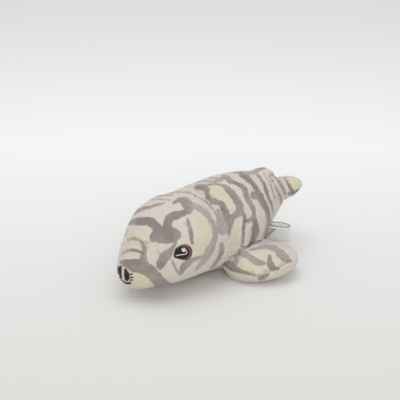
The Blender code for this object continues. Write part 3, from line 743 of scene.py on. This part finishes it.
def blow_out(skin, most):
    """Cloth under the filling's pressure, with no point moved further than most, in millimetres."""
    before = points_of(skin.data)
    cloth = skin.modifiers.new("filling", "CLOTH")
    settings = cloth.settings
    settings.quality = 4
    settings.use_pressure = True
    settings.uniform_pressure_force = FILLING_PRESSURE
    settings.effector_weights.gravity = 0
    cloth.collision_settings.use_collision = False
    scene = bpy.context.scene
    for step in range(1, FILLING_FRAMES + 1):
        scene.frame_set(step)
    blown = skin.evaluated_get(bpy.context.evaluated_depsgraph_get())
    move = points_of(blown.data) - before
    skin.modifiers.remove(cloth)
    scene.frame_set(1)
    far = np.linalg.norm(move, axis=1)
    print(skin.name, "blown out by", round(far.mean() / MM, 2), "mm, at most", round(far.max() / MM, 2))
    move *= np.minimum(1, most * MM / np.maximum(far, 1e-9))[:, None]
    set_points(skin.data, before + move)


def dent(skin, inside, width, depth, lip=0.0):
    """Presses lines into the skin, given each point's distance inside them, all in millimetres.

    They are as deep as depth along their middles, and the cloth beside them is raised by lip.
    """
    share = np.clip(-inside / width, -0.5, 3)
    pressed = depth * np.exp(-((share + 0.5) ** 2) * DENT_STEEPNESS)
    raised = lip * np.exp(-((share - LIP_PLACE) ** 2) * LIP_NARROWNESS)
    move_out(skin, raised - pressed)


def dent_lines(skin, lines, depth, lip=0.0):
    width = max(line[:, -1].max() for line in lines)
    dent(skin, inside_lines(points_of(skin.data) / MM, lines), width, depth, lip)


def crease(skin, routes, places, fold):
    """Presses in routes that are given in the photo's pixels, by each point's own place in the photo."""
    inside = inside_lines(places, [smooth_line(route) for route in routes]) * PHOTO_PIXEL
    dent(skin, inside, CREASE_WIDTH, *fold)


def press(skin, line, depth, fade):
    """Sinks the cloth inside the line's edge by depth, easing back over fade millimetres beyond it."""
    share = np.clip(inside_line(points_of(skin.data) / MM, line) / fade + 1, 0, 1)
    move_out(skin, -depth * eased(share))


def part_from(skin, surface, reach, depth):
    """Rounds the cloth away where it comes within reach of its neighbour, so a deep crease is left."""
    share = np.clip(1 - gaps_to(surface, points_of(skin.data)) / reach, 0, 1)
    move_out(skin, -depth * share**2)


def lumps(skin, height, size, seed):
    """Uneven filling: low swells of the given height, a few times the given size apart."""
    where = [Vector(p) / (size * MM) + Vector((seed, seed * 0.37, 0)) for p in points_of(skin.data)]
    move_out(skin, height * np.array([noise.noise(place) for place in where]))


def fill_nape(skin):
    """Plush is thick enough to bridge the dip behind the head, where the frame is drawn in."""
    off_seam = points_of(skin.data)[:, 1] / MM - NECK_Y
    up = np.clip(normals_of(skin.data)[:, 2], 0, 1)
    move_out(skin, NAPE_FILL * np.exp(-((off_seam / NAPE_LENGTH) ** 2)) * up)


def plump_root(skin, surface, side):
    """Heaps the flipper's upper panel against the flank that it is sewn to, most of all in front."""
    points = points_of(skin.data)
    near = eased(np.clip(1 - gaps_to(surface, points) / ROOT_REACH, 0, 1))
    near *= np.clip(points[:, 2] / (ROOT_FOOT * MM), 0, 1)
    rise = np.interp(points[:, 1] / MM, *np.array(ROOT_RISE).T)
    inwards, forwards = ROOT_LEAN
    set_points(skin.data, points + np.outer(near * rise, (inwards * side, forwards, 1)) * MM)


def settle(skin, below, drop):
    """Lets what faces the floor sink towards it under the filling's weight, the more the lower it hangs."""
    points = points_of(skin.data)
    facing = np.clip(-FLOOR_FACING * normals_of(skin.data)[:, 2], 0, 1)
    points[:, 2] -= drop * MM * np.clip(1 - points[:, 2] / (below * MM), 0, 1) * facing
    # Nothing sinks into the floor.
    points[:, 2] = np.maximum(points[:, 2], 0)
    set_points(skin.data, points)


def soften(skin, passes):
    bm = bmesh.new()
    bm.from_mesh(skin.data)
    for _ in range(passes):
        bmesh.ops.smooth_vert(
            bm, verts=bm.verts, factor=0.5, use_axis_x=True, use_axis_y=True, use_axis_z=True
        )
    bm.to_mesh(skin.data)
    bm.free()


def neck_point(angle, beyond=0.0):
    """A point on the neck's oval, at an angle from its top and so far beyond the seam."""
    x, z = NECK_HALF_WIDTH * math.sin(angle), NECK_HEIGHT + NECK_HALF_HEIGHT * math.cos(angle)
    return x, NECK_Y + beyond, z


def neck_folds(rng):
    """The neck seam, and the short gathers that run off it both ways, about one every 7 mm."""
    seam = []
    for k in range(NECK_SEAM_POINTS + 1):
        seam.append((*neck_point(2 * math.pi * k / NECK_SEAM_POINTS), NECK_SEAM_WIDTH))
    folds = []
    for k in range(2 * GATHER_PLACES):
        angle = 2 * math.pi * (k // 2 + rng.uniform(-GATHER_STRAY, GATHER_STRAY)) / GATHER_PLACES
        length = rng.uniform(*GATHER_LENGTHS) * (1 if k % 2 else -1)
        start = neck_point(angle)
        end = neck_point(angle + rng.uniform(-GATHER_SLANT, GATHER_SLANT), length)
        folds.append(((*start, GATHER_WIDTHS[0]), (*end, GATHER_WIDTHS[1])))
    return seam, folds


def make_trunk(velour):
    """Head, body and hind flippers: one cover of sewn panels, drawn in at the neck seam."""
    before_folds, after_folds = TRUNK_SMOOTHING
    trunk = stuffed_skin(
        "trunk_skin", ["head", "torso", "hind_flipper_left", "hind_flipper_right"],
        velour, TRUNK_CELL, TRUNK_BLOWN_MOST, before_folds,
    )
    fill_nape(trunk)
    for swell in TRUNK_SWELLS:
        lumps(trunk, *swell)
    surface = surface_of(trunk.data)
    seam, folds = neck_folds(np.random.default_rng(GATHER_SEED))
    dent_lines(trunk, [laid_on(smooth_line(seam), surface)], *NECK_SEAM_FOLD)
    dent_lines(trunk, [laid_on(smooth_line(fold), surface) for fold in folds], *GATHER_FOLD)
    crease(trunk, CREASES, photo_places(turned_to_view(trunk)), TRUNK_CREASE_FOLD)
    soften(trunk, after_folds)
    settle(trunk, *TRUNK_SINKING)
    for side in (1, -1):
        surface = surface_of(trunk.data)
        socket = [(*place_on_side(side, surface, y, z)[0] / MM, width) for y, z, width in EYE_SOCKET]
        press(trunk, smooth_line(socket), SOCKET_DEPTH, SOCKET_FADE)
    print_streaks(trunk, BODY_STREAKS, turned_to_view(trunk))
    return trunk


def edge_line(skin, count):
    """The sewn edge of a flipper, in millimetres: its outermost points as seen square to its flat sides."""
    points = points_of(skin.data) / MM
    middle = points.mean(0)
    _, _, axes = np.linalg.svd(points - middle, full_matrices=False)
    flat = (points - middle) @ axes[:2].T
    turn = np.arctan2(flat[:, 1], flat[:, 0])
    out = np.hypot(flat[:, 0], flat[:, 1])
    edge = []
    for k in range(count):
        off = np.abs((turn - 2 * math.pi * k / count + math.pi) % (2 * math.pi) - math.pi)
        # A radian off the wanted direction counts as much as 20 mm less far out.
        edge.append(points[np.argmax(out - 20 * off)])
    edge.append(edge[0])
    return np.array(edge), axes[2]


def sew_edge(skin):
    """The seam round a flipper: a crease where its two panels meet, puckered by the stitches."""
    edge, across = edge_line(skin, EDGE_POINTS)
    seam = smooth_line(np.column_stack((edge, np.full(len(edge), EDGE_SEAM_WIDTH))))
    dent_lines(skin, [seam], *EDGE_FOLD)
    end_width, middle_width = PUCKER_WIDTHS
    puckers = []
    for k in range(0, EDGE_POINTS, 2):
        lean = across * (PUCKER_LENGTH + PUCKER_SPREAD * math.sin(PUCKER_TURN * k))
        places = ((edge[k] - lean, end_width), (edge[k], middle_width), (edge[k] + lean, end_width))
        puckers.append(smooth_line([(*spot, width) for spot, width in places]))
    dent_lines(skin, puckers, EDGE_FOLD[0])


def make_front_flippers(velour, trunk):
    """Two paddles of two panels each, sewn to the flanks."""
    before_folds, after_folds = FLIPPER_SMOOTHING
    surface = surface_of(trunk.data)
    for side, name, seed in ((1, "left", 10), (-1, "right", 8)):
        node = f"front_flipper_{name}"
        skin = stuffed_skin(
            f"{node}_skin", [node], velour, FLIPPER_CELL, FLIPPER_BLOWN_MOST, before_folds
        )
        lumps(skin, *FLIPPER_SWELL, seed)
        sew_edge(skin)
        plump_root(skin, surface, side)
        part_from(skin, surface, ROOT_CREASE_REACH, ROOT_CREASE_DEPTH)
        # The far flipper is creased and printed as the near one's mirror image, and creased only above.
        places = photo_places(points_of(skin.data) * (side, 1, 1))
        above = normals_of(skin.data)[:, 2:] > 0
        crease(skin, FLIPPER_CREASES, np.where(above, places, 0), FLIPPER_CREASE_FOLD)
        soften(skin, after_folds)
        settle(skin, *FLIPPER_SINKING)
        print_streaks(skin, FLIPPER_STREAKS, points_of(skin.data) * (side, 1, 1))


# Embroidery

# Where rays start that look for the toy's side and its nose
BESIDE_TOY = 80
BEFORE_TOY = -120


def place_on_side(side, surface, y, z):
    """The place on one side of the toy that is seen from straight beside it, and the normal there."""
    return surface.ray_cast(Vector((side * BESIDE_TOY, y, z)) * MM, Vector((-side, 0, 0)))[:2]


def place_on_nose(surface, x, z):
    """The place on the head that is seen from straight before it, and the normal there."""
    return surface.ray_cast(Vector((x, BEFORE_TOY, z)) * MM, Vector((0, 1, 0)))[:2]


def stitch(name, ends, place, material, node, lift=0.0, swell=0.35, thread=STITCH_THREAD):
    """Stitches from end to end over the cloth, in through it at both ends and swelling in the middle."""
    curve = bpy.data.curves.new(name, "CURVE")
    curve.dimensions = "3D"
    curve.bevel_depth = thread / 2 * MM
    curve.bevel_resolution = 1
    curve.use_fill_caps = True
    curve.materials.append(material)
    for start, end in ends:
        spline = curve.splines.new("POLY")
        spline.points.add(STITCH_POINTS - 1)
        for k, point in enumerate(spline.points):
            share = k / (STITCH_POINTS - 1)
            spot, normal = place(*(np.array(start) * (1 - share) + np.array(end) * share))
            height = lift + swell * math.sin(math.pi * share) ** 0.5 - STITCH_SUNK
            point.co = (*(spot + normal * height * MM), 1)
    threads = add_object(name, curve)
    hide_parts(node)
    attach(threads, "root")


def across_path(route, width_at, count):
    """Ends of stitches laid side by side across a path, whose width is given along it from 0 to 1."""
    line = smooth_line([(*spot, 0) for spot in route], 0.05)[:, :2]
    run = np.concatenate(([0], np.cumsum(np.linalg.norm(np.diff(line, axis=0), axis=1))))

    def at(distance):
        return np.array([np.interp(distance, run, line[:, i]) for i in (0, 1)])

    ends = []
    for k in range(count):
        share = (k + 0.5) / count
        # Each stitch lies square to the path between 0.1 mm before it and 0.1 mm behind it.
        spot, ahead, back = (at(share * run[-1] + step) for step in (0, 0.1, -0.1))
        square = np.array([back[1] - ahead[1], ahead[0] - back[0]])
        square *= width_at(share) / 2 / np.linalg.norm(square)
        ends.append((spot + square, spot - square))
    return ends


def eye_place(along, up):
    """A point of the eye's own plan, rearwards and up from its middle, as (y, z) on the cheek."""
    turn = Matrix.Rotation(EYE_TILT, 2)
    return tuple(Vector(EYE_MIDDLE) + turn @ Vector((along, up)))


def eye_edge(angle, inset, forward, rise=0.0):
    """A point of the eye's outline, inset and moved forward and up, with the corner towards the nose."""
    towards_nose = max(0, -math.cos(angle))
    along = (EYE_LENGTH / 2 - inset) * math.cos(angle) - forward
    up = (EYE_HEIGHT / 2 - inset) * math.sin(angle) * (1 - EYE_CORNER * towards_nose**2)
    return eye_place(along, up + rise)


def glint_width(share):
    """A round spot, and then a thin line that trails from it."""
    spot = math.sqrt(max(0, 1 - (2 * share / GLINT_SPOT_SHARE - 1) ** 2))
    return max(GLINT_LINE, GLINT_SPOT * spot)


def nostril_width(share):
    return NOSTRIL_WIDTH * (NOSTRIL_END_SHARE + (1 - NOSTRIL_END_SHARE) * math.sin(math.pi * share))


def mouth_width(share):
    return MOUTH_LINE * (1 - MOUTH_TAPER * abs(2 * share - 1))


def make_eye(side, name, surface, threads):
    def place(y, z):
        return place_on_side(side, surface, y, z)

    forward = EYE_RIM - EYE_RIM_LEAST
    rim = []
    for k in range(RIM_STITCHES):
        angle = 2 * math.pi * k / RIM_STITCHES
        inner = eye_edge(angle, EYE_RIM + RIM_UNDER_PUPIL, forward)
        rim.append((eye_edge(angle, -RIM_PAST_EDGE, 0), inner))
    stitch(f"eye_{name}_rim_stitches", rim, place, threads["brown"], f"eye_rim_{name}")
    # The pupil's threads lap over the rim's in front and above.
    lapped = (EYE_RIM - PUPIL_LAP, forward + PUPIL_LAP, PUPIL_LAP)
    pupil = []
    for k in range(1, PUPIL_STITCHES):
        angle = math.acos(1 - 2 * k / PUPIL_STITCHES)
        pupil.append((eye_edge(angle, *lapped), eye_edge(-angle, *lapped)))
    stitch(
        f"eye_{name}_pupil_stitches", pupil, place, threads["black"], f"eye_pupil_{name}",
        lift=0.15, swell=0.5,
    )
    route = [eye_place(along * EYE_LENGTH / 2, up * EYE_HEIGHT / 2) for along, up in GLINT_PATH]
    stitch(
        f"eye_{name}_glint_stitches", across_path(route, glint_width, GLINT_STITCHES), place,
        threads["white"], f"eye_glint_{name}", lift=0.7, swell=0.25,
    )


def make_nose(surface, threads):
    def place(x, z):
        # The nose was stitched a little off the middle.
        return place_on_nose(surface, x + NOSE_ASIDE, z)

    black = threads["black"]
    for side, name in ((1, "left"), (-1, "right")):
        route = [
            (side * NOSTRIL_SPACING / 2 * (1 + out), NOSTRIL_ABOVE_FLOOR + up * NOSTRIL_HEIGHT / 2)
            for out, up in NOSTRIL_PATH
        ]
        stitch(
            f"nostril_{name}_stitches", across_path(route, nostril_width, NOSTRIL_STITCHES), place, black,
            f"nostril_{name}",
        )
        for row in (1, 2, 3):
            out = side * (WHISKER_ROW_OUT - WHISKER_ROW_BEND * (row - 2) ** 2)
            up = MOUTH_ABOVE_FLOOR + MOUTH_CURL + MOUTH_LINE + (row - 1) * WHISKER_SPACING
            # Each whisker is two threads, one above the other.
            marks = []
            for strand in (-0.5, 0.5):
                offset = strand * (WHISKER_THREAD - STITCH_THREAD)
                end = (out + side * WHISKER_REACH[0], up + WHISKER_REACH[1] + offset)
                marks.append(((out, up + offset), end))
            stitch(
                f"whisker_{row}_{name}_stitches", marks, place, black, f"whisker_stitch_{row}_{name}",
                thread=0.5, swell=0.3,
            )
    route = [
        (MOUTH_WIDTH / 2 * out, MOUTH_ABOVE_FLOOR + MOUTH_CURL * out**2)
        for out in np.linspace(-1, 1, MOUTH_POINTS)
    ]
    stitch(
        "mouth_stitches", across_path(route, mouth_width, MOUTH_STITCHES), place, black, "mouth_stitch",
    )


def make_face(trunk):
    surface = surface_of(trunk.data)
    threads = {
        "black": rayon_thread("black_rayon_thread", THREAD_BLACK, THREAD_BLACK_WORN),
        "brown": rayon_thread("brown_rayon_thread", THREAD_BROWN, THREAD_BROWN_WORN),
        "white": rayon_thread("white_rayon_thread", THREAD_WHITE, THREAD_WHITE_WORN),
    }
    make_eye(1, "left", surface, threads)
    make_eye(-1, "right", surface, threads)
    make_nose(surface, threads)


# Label

def make_label(trunk):
    """The ribbon strip folded into a loop, both ends in the seam, standing on its edge."""
    root = place_on_side(1, surface_of(trunk.data), LABEL_Y, LABEL_TOP - LABEL_STRIP / 2)[0]
    bm = bmesh.new()
    run_layer = bm.verts.layers.float.new("run")
    up_layer = bm.verts.layers.float.new("up")
    bmesh.ops.create_grid(bm, x_segments=LABEL_GRID[0], y_segments=LABEL_GRID[1], size=0.5)
    columns = sorted(bm.verts, key=lambda vert: vert.co.x)
    turn_to_seam = Matrix.Rotation(LABEL_TURN, 3, "Z")
    # The loop is pinched flat at the seam, which draws it out a little further than the frame's.
    reach = LABEL_REACH + LABEL_PULL
    run = 0.0
    before = None
    for vert in columns:
        turn = 2 * vert.co.x
        angle = LABEL_BEND * turn
        along = reach / 2 * (1 + math.cos(angle)) - LABEL_IN_SEAM * turn**LABEL_PINCH
        out = Vector((along, LABEL_LOOP / 2 * math.sin(angle), 0)) * MM
        if before is not None:
            run += (out - before).length
        before = out
        up = (vert.co.y + 0.5) * LABEL_STRIP * MM
        vert[run_layer] = run
        vert[up_layer] = up
        # The free end of the loop sags a little.
        sag = LABEL_SAG * MM * (along / reach) ** 2
        foot = (LABEL_TOP - LABEL_STRIP) * MM
        vert.co = turn_to_seam @ out + Vector((root.x, LABEL_Y * MM, foot + up - sag))
    mesh = mesh_from(bm, "label_ribbon")
    mesh.materials.append(polyester_satin())
    mesh.shade_smooth()
    ribbon = add_object("label_ribbon", mesh)
    thickness = ribbon.modifiers.new("ribbon_thickness", "SOLIDIFY")
    thickness.thickness = LABEL_THICKNESS * MM
    thickness.offset = 0
    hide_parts("side_label")
    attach(ribbon, "root")


# Stage

def make_stage():
    """A plain pale floor of matt paper, painted paler behind the toy as painted light for a brighter lit
    backdrop.
    """
    bm = bmesh.new()
    bmesh.ops.create_circle(bm, cap_ends=True, segments=96, radius=FLOOR_RADIUS)
    floor = add_object("floor", mesh_from(bm, "floor"))
    floor.data.materials.append(matt_paper())


def make_camera():
    camera = add_object("camera", bpy.data.cameras.new("camera"))
    camera.data.sensor_width = CAMERA_SENSOR
    camera.data.lens = CAMERA_LENS
    camera.data.clip_start = 0.01
    camera.location = CAMERA_PLACE
    camera.rotation_euler = (math.pi / 2 - CAMERA_PITCH, 0, CAMERA_AZIMUTH)
    bpy.context.scene.camera = camera


def make_light():
    """A large soft box overhead, a weaker one low in front, and an even white room."""
    for name, place, size, energy in LAMPS:
        lamp = add_object(name, bpy.data.lights.new(name, "AREA"))
        lamp.data.shape = "DISK"
        lamp.data.size = size
        lamp.data.energy = energy
        lamp.location = place
        lamp.rotation_euler = (-Vector(place)).to_track_quat("-Z", "Y").to_euler()
    world = bpy.data.worlds.new("white_room")
    world.use_nodes = True
    background = world.node_tree.nodes["Background"]
    background.inputs["Color"].default_value = (1, 1, 1, 1)
    background.inputs["Strength"].default_value = ROOM_STRENGTH
    bpy.context.scene.world = world
    bpy.context.scene.view_settings.view_transform = "Standard"


make_camera()
make_light()
make_stage()
velour = polyester_velour()
trunk = make_trunk(velour)
make_front_flippers(velour, trunk)
make_face(trunk)
make_label(trunk)
